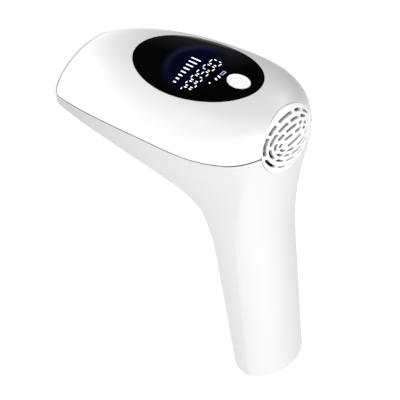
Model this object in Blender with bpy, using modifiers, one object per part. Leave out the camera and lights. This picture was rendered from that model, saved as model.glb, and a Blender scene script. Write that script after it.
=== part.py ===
"""Handheld IPL hair remover: a gun-shaped handset, as an assembly of separate pieces.

Frame: +Z up, the handle is vertical, the lamp faces -X and the air vent faces +X.
The origin is the middle of the handle's flat bottom face. Sizes below are in
millimetres and become metres when a mesh is made.
"""

import math
from collections import namedtuple

import bmesh
import bpy
import numpy as np
from mathutils import Matrix, Vector
from mathutils.bvhtree import BVHTree

MM = 0.001
GAP = 0.3                     # clearance between pieces that touch
WALL = 2.3                    # casing wall

# ---------------------------------------------------------------- casing shape
# The casing is one swept form. Each section runs from an outer edge (the roof, then
# the back of the handle) to an inner edge (the underside, then the front of the
# handle). belt places the widest line between the two edges, and crown and keel are
# the superellipse powers of the outer and the inner half.
Section = namedtuple("Section", "outer inner belt half_width crown keel")
SECTIONS = (
    Section((-110.0, 160.5), (-110.0, 131.0), 0.49, 28.0, 1.95, 2.70),
    Section((-91.0, 170.5), (-94.5, 126.0), 0.48, 32.0, 2.00, 2.40),
    Section((-62.0, 179.5), (-73.5, 120.0), 0.54, 35.2, 2.10, 2.35),
    Section((-28.0, 183.5), (-55.0, 113.0), 0.63, 37.2, 2.15, 2.25),
    Section((7.0, 183.0), (-42.0, 106.0), 0.71, 36.8, 2.10, 2.20),
    Section((31.0, 176.5), (-32.5, 95.5), 0.72, 31.5, 1.80, 2.10),
    Section((32.0, 152.5), (-27.0, 82.0), 0.74, 26.7, 1.70, 2.05),
    Section((22.0, 113.0), (-22.5, 63.0), 0.66, 23.0, 1.75, 2.05),
    Section((19.5, 64.0), (-20.3, 36.3), 0.60, 21.0, 1.80, 2.00),
    Section((16.0, 0.0), (-16.0, 0.0), 0.60, 20.0, 1.90, 2.00),
)
RINGS = 24                    # sections of the mesh along the sweep
AROUND = 24                   # points round each section
RUN_OUT = 6.0                 # how far a cutting form runs past the open ends

# Seam between the top cover and the lower body, seen from the side.
SEAM = ((-112.0, 144.8), (-83.0, 147.6), (-48.0, 150.6), (-24.0, 151.4), (-6.0, 151.3),
        (10.0, 153.2), (28.0, 157.6))
SEAM_POINTS = 13
COVER_FRONT = -107.0          # the rim in front of it belongs to the lower body

# ---------------------------------------------------------------- rear vent and fan
VENT_X, VENT_Z = 28.5, 160.0
VENT_RADIUS = 19.9
VENT_CROWN = 6.6              # how far the domed grille stands out at its middle
GRILLE_WALL = 1.6
GRILLE_SKIRT = 3.2
# Every ring of slots is an oval: half length, half height, lift of its middle, and where each
# of its slots starts and ends, in degrees from +Y towards +Z.
SLOT_RINGS = (
    (18.0, 15.0, -0.85, ((19, 45), (51, 70), (76, 110), (117, 139), (144, 184), (193, 227),
                         (233, 253), (257, 290), (296, 326), (333, 372))),
    (15.3, 10.9, -0.2, ((31, 55), (62, 88), (94, 123), (129, 162), (172, 208), (216, 239),
                        (245, 270), (277, 303), (310, 335), (343, 380))),
    (12.7, 7.5, 0.05, ((18, 36), (46, 64), (72, 110), (118, 141), (153, 182), (201, 224),
                       (231, 250), (256, 290), (299, 326), (336, 365))),
    (10.0, 4.2, 0.1, ((10, 39), (54, 84), (95, 130), (147, 176), (190, 223), (234, 264),
                      (276, 316), (328, 357))),
)
SLOT_HALF = 0.76              # half of a slot's width
SLOT_SHIFT = (0.1, 1.35)      # middle of the rings from the middle of the vent, along Y and Z
CENTRE_SLOT = (5.5, 0.82)     # half length, half height
FAN_X, FAN_SIDE, FAN_DEPTH = 15.0, 30.0, 10.0
FAN_BORE = 14.2
FAN_HUB = 6.2
FAN_BLADES = 7
FAN_HOLE = 11.8               # screw holes, from the fan's middle
FAN_SCREWS = ((1, 1), (-1, -1))

# ---------------------------------------------------------------- display and power button
DISPLAY_X = -29.3
DISPLAY_LONG, DISPLAY_WIDE = 40.2, 23.9      # semi-axes of the black oval
PANEL_THICK = 1.5
GASKET_THICK = 0.8
LEDGE_IN, LEDGE_OUT = 2.6, 2.2
LEDGE_THICK = 1.3
BUTTON_X = -1.3
BUTTON_LONG, BUTTON_WIDE = 7.2, 5.3
BUTTON_PROUD = 0.6
BOARD_THICK = 1.6
DISPLAY_BOARD_TOP = 170.0
DISPLAY_BOARD = (-50.0, 8.0, 24.6)           # from x, to x, half width
DISPLAY_SCREWS = ((-42.0, 22.3), (-42.0, -22.3), (-14.0, 22.3), (-14.0, -22.3))

# ---------------------------------------------------------------- lamp end
LAMP_Z = 146.0
WINDOW_FRAME_FRONT, WINDOW_FRAME_BACK = -108.6, -104.4
WINDOW = (33.0, 12.0)                        # opening, across by up
GLASS = (38.0, 16.0, 2.5)
LAMP_X = -94.8
LAMP_RADIUS = 2.8
LAMP_LENGTH = 50.0
REFLECTOR_LENGTH = 37.0
REFLECTOR_RADIUS = 6.4
HEATSINK = (-87.6, -70.0, 40.0, 17.0)        # from x, to x, across, up
FIN_COUNT = 7
SENSOR_Y = 20.5
WINDOW_SCREW_Y = 9.0
WINDOW_SCREW_Z = 136.4

# ---------------------------------------------------------------- boards in the head
MAIN_BOARD = (-76.0, -22.0, 23.0)            # from x, to x, half width
MAIN_BOARD_TOP = 132.0
MAIN_SCREWS = ((-68.0, 18.5), (-68.0, -18.5), (-40.0, 18.5), (-40.0, -18.5))

# ---------------------------------------------------------------- handle
TRIGGER_Z = 79.0
TRIGGER_AXIS = (0.956, 0.0, 0.294)           # the way the flash button is pushed
TRIGGER_LONG, TRIGGER_WIDE = 12.0, 6.8
TRIGGER_PROUD = 1.0
TRIGGER_BOARD_IN = 11.2       # how far behind the surface the trigger's board sits
TRIGGER_SCREWS = (-10.6, 10.6)
END_CAP_THICK = 3.0
JACK_X = 6.6
JACK_HOLE = 3.4
END_SCREW_X, END_SCREW_Y = -2.0, 14.4

COLOURS = {
    "white": ((0.86, 0.87, 0.88), 0.28, 0.0),
    "white_satin": ((0.80, 0.81, 0.83), 0.42, 0.0),
    "black_gloss": ((0.010, 0.010, 0.014), 0.06, 0.0),
    "button": ((0.78, 0.78, 0.86), 0.35, 0.0),
    "foam": ((0.05, 0.05, 0.05), 0.90, 0.0),
    "board": ((0.03, 0.20, 0.09), 0.45, 0.0),
    "lcd": ((0.03, 0.04, 0.16), 0.20, 0.0),
    "black_plastic": ((0.03, 0.03, 0.03), 0.50, 0.0),
    "steel": ((0.60, 0.61, 0.62), 0.28, 1.0),
    "gold": ((0.78, 0.58, 0.26), 0.25, 1.0),
    "mirror": ((0.88, 0.88, 0.90), 0.08, 1.0),
    "aluminium": ((0.62, 0.63, 0.65), 0.38, 1.0),
    "glass": ((0.90, 0.62, 0.35), 0.05, 0.0),
    "quartz": ((0.85, 0.88, 0.92), 0.05, 0.0),
    "ceramic": ((0.85, 0.83, 0.78), 0.40, 0.0),
    "capacitor": ((0.06, 0.06, 0.16), 0.35, 0.0),
    "copper": ((0.72, 0.34, 0.16), 0.30, 1.0),
    "resin": ((0.42, 0.10, 0.06), 0.45, 0.0),
    "wire_red": ((0.50, 0.02, 0.02), 0.50, 0.0),
    "wire_black": ((0.02, 0.02, 0.02), 0.50, 0.0),
}

X, Y, Z = Vector((1, 0, 0)), Vector((0, 1, 0)), Vector((0, 0, 1))


# ================================================================ scene set-up
for old in list(bpy.data.objects):
    bpy.data.objects.remove(old, do_unlink=True)

parts = bpy.data.collections.new("ipl_hair_remover")
cutters = bpy.data.collections.new("cutters")
bpy.context.scene.collection.children.link(parts)
bpy.context.scene.collection.children.link(cutters)


def link(name, mesh):
    """A new object in the parts' collection."""
    thing = bpy.data.objects.new(name, mesh)
    parts.objects.link(thing)
    return thing


def finish(thing, colour, sharp=35.0):
    """Give a part its own material and its shading."""
    rgb, roughness, metallic = COLOURS[colour]
    material = bpy.data.materials.new(thing.name)
    material.use_nodes = True
    shader = material.node_tree.nodes["Principled BSDF"]
    shader.inputs["Base Color"].default_value = (*rgb, 1.0)
    shader.inputs["Roughness"].default_value = roughness
    shader.inputs["Metallic"].default_value = metallic
    thing.data.materials.clear()
    thing.data.materials.append(material)
    if thing.type == "MESH":
        thing.data.shade_smooth()
        thing.data.set_sharp_from_angle(angle=math.radians(sharp))
    return thing


def boolean(target, tool, operation, solver="EXACT"):
    """Cut, join or intersect target with tool, which becomes a hidden cutter."""
    modifier = target.modifiers.new(tool.name, "BOOLEAN")
    modifier.operation = operation
    modifier.solver = solver
    modifier.object = tool
    if tool.name not in cutters.objects:
        parts.objects.unlink(tool)
        cutters.objects.link(tool)
        tool.hide_render = True
        tool.display_type = "WIRE"
    return target


def cut(target, *tools, solver="EXACT"):
    for tool in tools:
        boolean(target, tool, "DIFFERENCE", solver)
    return target


def join(target, *tools):
    for tool in tools:
        boolean(target, tool, "UNION")
    return target


def keep(target, *tools):
    for tool in tools:
        boolean(target, tool, "INTERSECT")
    return target


# ================================================================ shapes
def mesh_from(bm, name):
    bmesh.ops.recalc_face_normals(bm, faces=bm.faces)
    mesh = bpy.data.meshes.new(name)
    bm.to_mesh(mesh)
    bm.free()
    return mesh


def frame_at(place, axis=(0, 0, 1), side=(0, 1, 0)):
    """Matrix that puts local Z along axis and local Y near side, at a place in mm."""
    w = Vector(axis).normalized()
    v = Vector(side)
    if abs(v.dot(w)) > 0.99:
        v = Vector((0, 0, 1))
    u = v.cross(w).normalized()
    v = w.cross(u)
    turn = Matrix((u, v, w)).transposed().to_4x4()
    return Matrix.Translation(Vector(place) * MM) @ turn


def put(thing, place, axis=(0, 0, 1), side=(0, 1, 0)):
    thing.matrix_world = frame_at(place, axis, side)
    return thing


def block(name, low, high):
    """Box between two corners, in mm."""
    low, high = Vector(low), Vector(high)
    bm = bmesh.new()
    bmesh.ops.create_cube(bm, size=1.0)
    bmesh.ops.scale(bm, vec=(high - low) * MM, verts=bm.verts)
    thing = link(name, mesh_from(bm, name))
    thing.location = (low + high) * 0.5 * MM
    return thing


def rod(name, place, axis, length, radius, wide=None, steps=24, side=(0, 1, 0)):
    """Round or oval cylinder that starts at place and runs along axis."""
    bm = bmesh.new()
    bmesh.ops.create_cone(bm, cap_ends=True, segments=steps, radius1=radius * MM,
                          radius2=radius * MM, depth=length * MM)
    bmesh.ops.translate(bm, vec=(0, 0, length * MM / 2), verts=bm.verts)
    if wide is not None:
        bmesh.ops.scale(bm, vec=(1, wide / radius, 1), verts=bm.verts)
    return put(link(name, mesh_from(bm, name)), place, axis, side)


def turned(name, place, axis, profile, steps=12):
    """Solid of revolution. The profile is (radius, height) in mm, from top to bottom."""
    mesh = bpy.data.meshes.new(name)
    points = [(radius * MM, 0, height * MM) for radius, height in profile]
    mesh.from_pydata(points, [(i, i + 1) for i in range(len(points) - 1)], [])
    thing = link(name, mesh)
    screw = thing.modifiers.new("turn", "SCREW")
    screw.axis = "Z"
    screw.steps = steps
    screw.render_steps = steps
    screw.use_merge_vertices = True
    screw.merge_threshold = 0.00002
    return put(thing, place, axis)


def slab(name, outline, start, length, place=(0, 0, 0), axis=(0, 1, 0), side=(0, 0, 1)):
    """Flat outline in mm, extruded from start over length along axis."""
    bm = bmesh.new()
    corners = [bm.verts.new((u * MM, v * MM, start * MM)) for u, v in outline]
    face = bm.faces.new(corners)
    grown = bmesh.ops.extrude_face_region(bm, geom=[face])
    moved = [item for item in grown["geom"] if isinstance(item, bmesh.types.BMVert)]
    bmesh.ops.translate(bm, vec=(0, 0, length * MM), verts=moved)
    return put(link(name, mesh_from(bm, name)), place, axis, side)


def oval_arc(half_long, half_high, start, end, steps):
    """Points on an ellipse, angles in degrees."""
    angles = np.radians(np.linspace(start, end, steps))
    return [(half_long * math.cos(a), half_high * math.sin(a)) for a in angles]


def lead(name, colour, radius, route):
    """Insulated wire along a smooth curve through the route's points, in mm."""
    knots = np.arange(len(route))
    fine = np.linspace(0, len(route) - 1, 3 * len(route))
    points = natural_spline(np.array(route, float), knots, fine)
    curve = bpy.data.curves.new(name, "CURVE")
    curve.dimensions = "3D"
    curve.bevel_depth = radius * MM
    curve.bevel_resolution = 1
    curve.use_fill_caps = True
    spline = curve.splines.new("POLY")
    spline.points.add(len(points) - 1)
    for slot, point in zip(spline.points, points):
        slot.co = (*(point * MM), 1.0)
    return finish(link(name, curve), colour)


def screw(name, place, axis, length, head=1.8, shank=0.9):
    """Pan-head screw. place is the underside of the head, axis points out of the head."""
    profile = ((0, 1.2), (head * 0.7, 1.2), (head, 0.8), (head, 0), (shank, 0),
               (shank, 0.8 - length), (0, -length))
    return finish(turned(name, place, axis, profile, 8), "steel")


# ================================================================ the casing form
def natural_spline(values, knots, where):
    """Natural cubic spline through rows of values at whole-numbered knots."""
    count = len(knots)
    system = np.eye(count)
    right = np.zeros_like(values)
    for i in range(1, count - 1):
        system[i, i - 1:i + 2] = (1, 4, 1)
        right[i] = 6 * (values[i - 1] - 2 * values[i] + values[i + 1])
    bend = np.linalg.solve(system, right)
    index = np.clip(where.astype(int), 0, count - 2)
    b = (where - index)[:, None]
    a = 1 - b
    return (a * values[index] + b * values[index + 1]
            + ((a ** 3 - a) * bend[index] + (b ** 3 - b) * bend[index + 1]) / 6)


def casing_grid():
    """Points of the casing's outer surface, ring by ring, in mm."""
    table = np.array([(*s.outer, *s.inner, s.belt, s.half_width, s.crown, s.keel)
                      for s in SECTIONS])
    spread = np.linspace(0, len(SECTIONS) - 1, RINGS)
    rows = natural_spline(table, np.arange(len(SECTIONS)), spread)
    angles = np.linspace(0, 2 * np.pi, AROUND, endpoint=False)
    grid = np.zeros((RINGS, AROUND, 3))
    for ring, row in enumerate(rows):
        outer, inner = row[0:2], row[2:4]
        middle = inner + row[4] * (outer - inner)
        for step, angle in enumerate(angles):
            c, s = math.cos(angle), math.sin(angle)
            power = 2 / (row[6] if c >= 0 else row[7])
            edge = outer if c >= 0 else inner
            spot = middle + abs(c) ** power * (edge - middle)
            grid[ring, step] = (spot[0], math.copysign(abs(s) ** power, s) * row[5], spot[1])
    return grid


CASING = casing_grid()


def casing_normals():
    """Outward normals of the grid; the end rings' normals stay in their own plane."""
    along = np.gradient(CASING, axis=0)
    around = np.roll(CASING, -1, axis=1) - np.roll(CASING, 1, axis=1)
    normals = np.cross(along, around)
    normals[0, :, 0] = 0
    normals[-1, :, 2] = 0
    normals /= np.linalg.norm(normals, axis=2, keepdims=True)
    middle = CASING.mean(axis=1, keepdims=True)
    if np.sum((CASING - middle) * normals) < 0:
        normals = -normals
    return normals


NORMALS = casing_normals()


def form(name, inset, run_out=0.0):
    """Closed solid of the casing, its surface moved inward by inset mm."""
    grid = CASING - inset * NORMALS
    rings = list(grid)
    if run_out:
        rings.insert(0, grid[0] + (-run_out, 0, 0))
        rings.append(grid[-1] + (0, 0, -run_out))
    bm = bmesh.new()
    verts = [[bm.verts.new(point * MM) for point in ring] for ring in rings]
    for low, high in zip(verts, verts[1:]):
        for i in range(AROUND):
            j = (i + 1) % AROUND
            bm.faces.new((low[i], low[j], high[j], high[i]))
    bm.faces.new(verts[0])
    bm.faces.new(verts[-1])
    return link(name, mesh_from(bm, name))


def seam_heights():
    """The seam as a smooth run of (x, z) points."""
    knots = np.arange(len(SEAM))
    spread = np.linspace(0, len(SEAM) - 1, SEAM_POINTS)
    return natural_spline(np.array(SEAM), knots, spread)


def above_seam(name, front, lift):
    """Everything above the seam and behind the front rim."""
    run = seam_heights()
    line = [(x, z + lift) for x, z in run if x > front + 2]
    first = np.interp(front, run[:, 0], run[:, 1]) + lift
    line = [(front, first)] + line + [(50.0, line[-1][1])]
    outline = line + [(50.0, 205.0), (front, 205.0)]
    return slab(name, [(-x, z) for x, z in outline], -60.0, 120.0)


cavity = form("cavity", WALL, RUN_OUT)
fit_form = form("fit_form", WALL + GAP, RUN_OUT)
root_form = form("root_form", 1.1, RUN_OUT)
probe = BVHTree.FromPolygons([v.co.copy() for v in cavity.data.vertices],
                             [tuple(p.vertices) for p in cavity.data.polygons])


def reach(start, direction):
    """Distance in mm from a point inside the casing to its inner wall."""
    hit = probe.ray_cast(Vector(start) * MM, Vector(direction))
    return hit[3] / MM


def display_oval(name, grow):
    return rod(name, (DISPLAY_X, 0, 160), Z, 40, DISPLAY_LONG + grow, DISPLAY_WIDE + grow, 40)


def ledge():
    """Ledge inside the top cover that carries the display panel."""
    deep = PANEL_THICK + GASKET_THICK + 2 * GAP
    shelf = display_oval("ledge", LEDGE_OUT)
    keep(shelf, form("ledge_top", 1.3, RUN_OUT))
    cut(shelf, form("ledge_under", deep + LEDGE_THICK, RUN_OUT))
    return shelf, form("pocket_floor", deep, RUN_OUT)


# ================================================================ top cover and display
def top_cover():
    cover = form("top_cover", 0.0)
    cut(cover, cavity)
    shelf, floor = ledge()
    join(cover, shelf)
    for number, (x, y) in enumerate(DISPLAY_SCREWS):
        boss = rod(f"display_boss_{number}", (x, y, DISPLAY_BOARD_TOP + GAP), Z, 12, 2.6, steps=12)
        keep(boss, root_form)
        join(cover, boss)
    pocket = display_oval("display_pocket", 0.0)
    cut(pocket, floor)
    cut(cover, pocket, display_oval("display_window", -LEDGE_IN), solver="MANIFOLD")
    for number, (x, y) in enumerate(DISPLAY_SCREWS):
        cut(cover, rod(f"display_pilot_{number}", (x, y, 165), Z, 8.4, 1.2, steps=8))
    keep(cover, above_seam("cover_side", COVER_FRONT + GAP, GAP))
    cut(cover, vent_bore)
    return finish(cover, "white")


def display_panel():
    panel = form("display_panel", 0.0)
    keep(panel, display_oval("panel_edge", -GAP))
    cut(panel, form("panel_under", PANEL_THICK, RUN_OUT))
    cut(panel, rod("button_hole", (BUTTON_X, 0, 170), Z, 30, BUTTON_LONG + GAP,
                   BUTTON_WIDE + GAP, 28))
    return finish(panel, "black_gloss")


def display_gasket():
    top = PANEL_THICK + GAP
    gasket = form("display_gasket", top)
    keep(gasket, display_oval("gasket_edge", -0.6))
    cut(gasket, form("gasket_under", top + GASKET_THICK, RUN_OUT))
    cut(gasket, display_oval("gasket_window", -LEDGE_IN))
    return finish(gasket, "foam")


def display_boards():
    start, end, half = DISPLAY_BOARD
    top = DISPLAY_BOARD_TOP
    board = block("display_board", (start, -half, top - BOARD_THICK), (end, half, top))
    for number, (x, y) in enumerate(DISPLAY_SCREWS):
        cut(board, rod(f"display_hole_{number}", (x, y, top - 5), Z, 10, 1.3, steps=8))
        screw(f"display_board_screw_{number + 1}", (x, y, top - BOARD_THICK - GAP), -Z, 4.6)
    finish(board, "board")
    finish(block("lcd_module", (-48, -15.5, top + GAP), (-12, 15.5, top + 4.6)), "lcd")


def power_button():
    """Button cap with its retaining flange and stem, and the switch below it."""
    roof = probe_roof(BUTTON_X)
    top = roof + BUTTON_PROUD
    flange = roof - PANEL_THICK - 2.2
    cap = rod("power_button", (BUTTON_X, 0, flange), Z, top - flange, BUTTON_LONG,
              BUTTON_WIDE, 28)
    bevel = cap.modifiers.new("edge", "BEVEL")
    bevel.width = 0.5 * MM
    bevel.segments = 2
    bevel.limit_method = "ANGLE"
    join(cap, rod("button_flange", (BUTTON_X, 0, flange - 0.6), Z, 1.1, BUTTON_LONG + 1.2,
                  BUTTON_WIDE + 1.2, 28))
    stem_end = DISPLAY_BOARD_TOP + 5.9
    join(cap, rod("button_stem", (BUTTON_X, 0, stem_end), Z, flange - stem_end, 2.0, steps=12))
    finish(cap, "button")

    base = DISPLAY_BOARD_TOP + GAP
    switch = block("power_switch", (BUTTON_X - 3, -3, base), (BUTTON_X + 3, 3, base + 3.5))
    cut(switch, rod("power_switch_well", (BUTTON_X, 0, base + 1.6), Z, 5, 2.0, steps=12))
    finish(switch, "black_plastic")
    plunger = rod("power_switch_plunger", (BUTTON_X, 0, base + 2.6), Z,
                  stem_end - GAP - base - 2.6, 1.6, steps=12)
    finish(plunger, "black_plastic")


def probe_roof(x):
    """Height of the roof's outer surface above the middle line at x."""
    return 160 + reach((x, 0, 160), (0, 0, 1)) + WALL


# ================================================================ lower body
def lower_body():
    body = form("lower_body", 0.0)
    cut(body, cavity, above_seam("body_side", COVER_FRONT, 0.0), vent_bore)
    posts = []
    for number, (x, y) in enumerate(MAIN_SCREWS):
        posts.append(rod(f"main_post_{number}", (x, y, 100), Z,
                         MAIN_BOARD_TOP - BOARD_THICK - GAP - 100, 2.8, steps=12))
    for sign, name in ((-1, "left"), (1, "right")):
        posts.append(rod(f"end_post_{name}", (END_SCREW_X, sign * END_SCREW_Y, END_CAP_THICK + GAP),
                         Z, 9.0, 3.4, steps=12))
        y = sign * WINDOW_SCREW_Y
        posts.append(block(f"window_post_{name}", (WINDOW_FRAME_BACK + GAP, y - 2.4, 120),
                           (WINDOW_FRAME_BACK + 8, y + 2.4, LAMP_Z - GLASS[1] / 2 - GAP)))
    for number, across in enumerate(TRIGGER_SCREWS):
        posts.append(rod(f"trigger_post_{number}", trigger_point(1.0, across), TRIGGER_AXIS,
                         TRIGGER_BOARD_IN - GAP - 1.0, 1.9, steps=12))
    for post in posts:
        keep(post, root_form)
        join(body, post)
    for number, (x, y) in enumerate(MAIN_SCREWS):
        cut(body, rod(f"main_pilot_{number}", (x, y, MAIN_BOARD_TOP - 8), Z, 10, 1.2, steps=8))
    for sign, name in ((-1, "left"), (1, "right")):
        cut(body, rod(f"end_pilot_{name}", (END_SCREW_X, sign * END_SCREW_Y, 1), Z, 10.5, 1.2,
                      steps=8))
        cut(body, rod(f"window_pilot_{name}",
                      (WINDOW_FRAME_BACK - 2, sign * WINDOW_SCREW_Y, WINDOW_SCREW_Z), X, 8.6, 1.1,
                      steps=8))
    for number, across in enumerate(TRIGGER_SCREWS):
        cut(body, rod(f"trigger_pilot_{number}", trigger_point(7.0, across), TRIGGER_AXIS, 12, 1.2,
                      steps=8))
    cut(body, rod("trigger_opening", trigger_point(-8), TRIGGER_AXIS, 16, TRIGGER_LONG + GAP,
                  TRIGGER_WIDE + GAP, 28))
    return finish(body, "white")


def handle_end():
    """End cap, its screws and the supply socket behind it."""
    cap = block("handle_end_cap", (-30, -30, 0), (30, 30, END_CAP_THICK))
    keep(cap, fit_form)
    cut(cap, rod("jack_hole", (JACK_X, 0, -1), Z, 6, JACK_HOLE, steps=24))
    for sign, name in ((-1, "left"), (1, "right")):
        y = sign * END_SCREW_Y
        hole = rod(f"end_hole_{name}", (END_SCREW_X, y, -1), Z, 6, 1.2, steps=8)
        sink = rod(f"end_sink_{name}", (END_SCREW_X, y, -1), Z, 2.8, 2.1, steps=16)
        cut(cap, hole, sink, solver="MANIFOLD")
        screw(f"end_cap_screw_{name}", (END_SCREW_X, y, 1.8 - GAP), -Z, 7.0)
    finish(cap, "white_satin")

    jack = block("dc_jack", (JACK_X - 4.5, -4.5, END_CAP_THICK + GAP), (JACK_X + 4.5, 4.5, 16))
    cut(jack, rod("jack_bore", (JACK_X, 0, 0), Z, 13, 2.9, steps=20))
    join(jack, rod("jack_pin", (JACK_X, 0, END_CAP_THICK + 1.5), Z, 11, 0.9, steps=10))
    finish(jack, "black_plastic")


# ================================================================ flash trigger
def trigger_point(depth, across=0.0):
    """Point at a depth behind the trigger's middle, moved across the handle."""
    surface = Vector((-reach((0, 0, TRIGGER_Z), (-1, 0, 0)) - WALL, 0, TRIGGER_Z))
    return surface + Vector(TRIGGER_AXIS) * depth + Y * across


def flash_trigger():
    cap = form("flash_trigger", -TRIGGER_PROUD)
    keep(cap, rod("trigger_edge", trigger_point(-8), TRIGGER_AXIS, 20, TRIGGER_LONG,
                  TRIGGER_WIDE, 28))
    flange = rod("trigger_flange", trigger_point(-8), TRIGGER_AXIS, 20, TRIGGER_LONG + 1.4,
                 TRIGGER_WIDE + 1.4, 28)
    keep(flange, fit_form)
    join(cap, flange)
    cut(cap, form("trigger_under", WALL + GAP + 1.0, RUN_OUT))
    stem = rod("trigger_stem", trigger_point(2.6), TRIGGER_AXIS, 3.2, 2.0, steps=12)
    join(cap, stem)
    finish(cap, "white")

    board = rod("trigger_board", trigger_point(TRIGGER_BOARD_IN), TRIGGER_AXIS, 1.4, 7.0, 13.2, 20)
    for number, across in enumerate(TRIGGER_SCREWS):
        hole = rod(f"trigger_board_hole_{number}", trigger_point(TRIGGER_BOARD_IN - 2, across),
                   TRIGGER_AXIS, 6, 1.2, steps=8)
        cut(board, hole)
        screw(f"trigger_board_screw_{number + 1}",
              trigger_point(TRIGGER_BOARD_IN + 1.4 + GAP, across), TRIGGER_AXIS, 4.4)
    finish(board, "board")

    switch = rod("trigger_switch", trigger_point(TRIGGER_BOARD_IN - GAP - 3.4), TRIGGER_AXIS, 3.4,
                 3.4, steps=16)
    cut(switch, rod("trigger_switch_well", trigger_point(TRIGGER_BOARD_IN - 6), TRIGGER_AXIS, 4.6,
                    2.0, steps=12))
    finish(switch, "black_plastic")
    plunger = rod("trigger_switch_plunger", trigger_point(6.1), TRIGGER_AXIS, 2.1, 1.6, steps=12)
    finish(plunger, "black_plastic")


# ================================================================ vent and fan
def slot_cutter(name, half_long, half_high, lift, start, end):
    """Slot along an oval, right through the grille."""
    steps = 3 if end - start < 30 else 4
    outline = (oval_arc(half_long + SLOT_HALF, half_high + SLOT_HALF, start, end, steps)
               + oval_arc(half_long - SLOT_HALF, half_high - SLOT_HALF, end, start, steps))
    middle = (VENT_X, SLOT_SHIFT[0], VENT_Z + SLOT_SHIFT[1] + lift)
    return slab(name, outline, -10, 30, middle, X, Z)


def vent_grille():
    ball = (VENT_RADIUS ** 2 + VENT_CROWN ** 2) / (2 * VENT_CROWN)
    limit = math.asin(VENT_RADIUS / ball)
    inner = ball - GRILLE_WALL
    rim = VENT_RADIUS - 1.7
    outside = [(ball * math.sin(a), ball * math.cos(a) - ball + VENT_CROWN)
               for a in np.linspace(0, limit, 5)]
    inner_limit = math.asin(rim / inner)
    inside = [(inner * math.sin(a), inner * math.cos(a) - ball + VENT_CROWN)
              for a in np.linspace(inner_limit, 0, 4)]
    profile = outside + [(VENT_RADIUS, -GRILLE_SKIRT), (rim, -GRILLE_SKIRT)] + inside
    grille = turned("vent_grille", (VENT_X, 0, VENT_Z), X, profile, 32)
    for ring, (half_long, half_high, lift, slots) in enumerate(SLOT_RINGS):
        for start, end in slots:
            cut(grille, slot_cutter(f"slot_{ring}_{start}", half_long, half_high, lift, start, end))
    y, z = SLOT_SHIFT[0], VENT_Z + SLOT_SHIFT[1]
    cut(grille, block("slot_centre", (VENT_X - 10, y - CENTRE_SLOT[0], z - CENTRE_SLOT[1]),
                      (VENT_X + 20, y + CENTRE_SLOT[0], z + CENTRE_SLOT[1])))
    back = FAN_X + FAN_DEPTH / 2 + GAP
    for number, (v, w) in enumerate(FAN_SCREWS):
        place = (back, v * FAN_HOLE, VENT_Z + w * FAN_HOLE)
        join(grille, rod(f"fan_post_{number}", place, X, VENT_X + 1.2 - back, 1.7, steps=12))
        cut(grille, rod(f"fan_pilot_{number}", place, X, 5.2, 1.15, steps=8))
    return finish(grille, "white")


def fan():
    front, back = FAN_X - FAN_DEPTH / 2, FAN_X + FAN_DEPTH / 2
    side = FAN_SIDE / 2
    frame = block("fan_frame", (front, -side, VENT_Z - side), (back, side, VENT_Z + side))
    cut(frame, rod("fan_bore", (front - 5, 0, VENT_Z), X, 20, FAN_BORE, steps=32))
    for number in range(3):
        angle = math.radians(90 + 120 * number)
        across = Vector((0, math.cos(angle), math.sin(angle)))
        spoke = block(f"fan_spoke_{number}", (-0.7, -1.2, 0), (0.7, 1.2, FAN_BORE + 0.6))
        move = Matrix.Translation(spoke.location)
        spoke.matrix_world = frame_at((front + 0.9, 0, VENT_Z), across, X.cross(across)) @ move
        join(frame, spoke)
    join(frame, rod("fan_base", (front + 0.2, 0, VENT_Z), X, 1.4, FAN_HUB, steps=20))
    for number, (v, w) in enumerate(FAN_SCREWS):
        place = (front - 2, v * FAN_HOLE, VENT_Z + w * FAN_HOLE)
        cut(frame, rod(f"fan_hole_{number}", place, X, 20, 1.3, steps=8))
        screw(f"fan_screw_{number + 1}", (front - GAP, place[1], place[2]), -X, FAN_DEPTH + 4.6)
    finish(frame, "black_plastic")

    rotor = rod("fan_rotor", (front + 2.2, 0, VENT_Z), X, FAN_DEPTH - 3.0, FAN_HUB, steps=20)
    for number in range(FAN_BLADES):
        angle = 2 * math.pi * number / FAN_BLADES
        across = Vector((0, math.cos(angle), math.sin(angle)))
        pitch = Vector((0.75, 0, 0)) + 0.66 * X.cross(across)
        blade = block(f"fan_blade_{number}", (-0.45, -3.4, FAN_HUB - 0.8), (0.45, 3.4, FAN_BORE - 0.9))
        move = Matrix.Translation(blade.location)
        blade.matrix_world = frame_at((FAN_X + 0.8, 0, VENT_Z), across, pitch) @ move
        join(rotor, blade)
    finish(rotor, "black_plastic")


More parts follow.
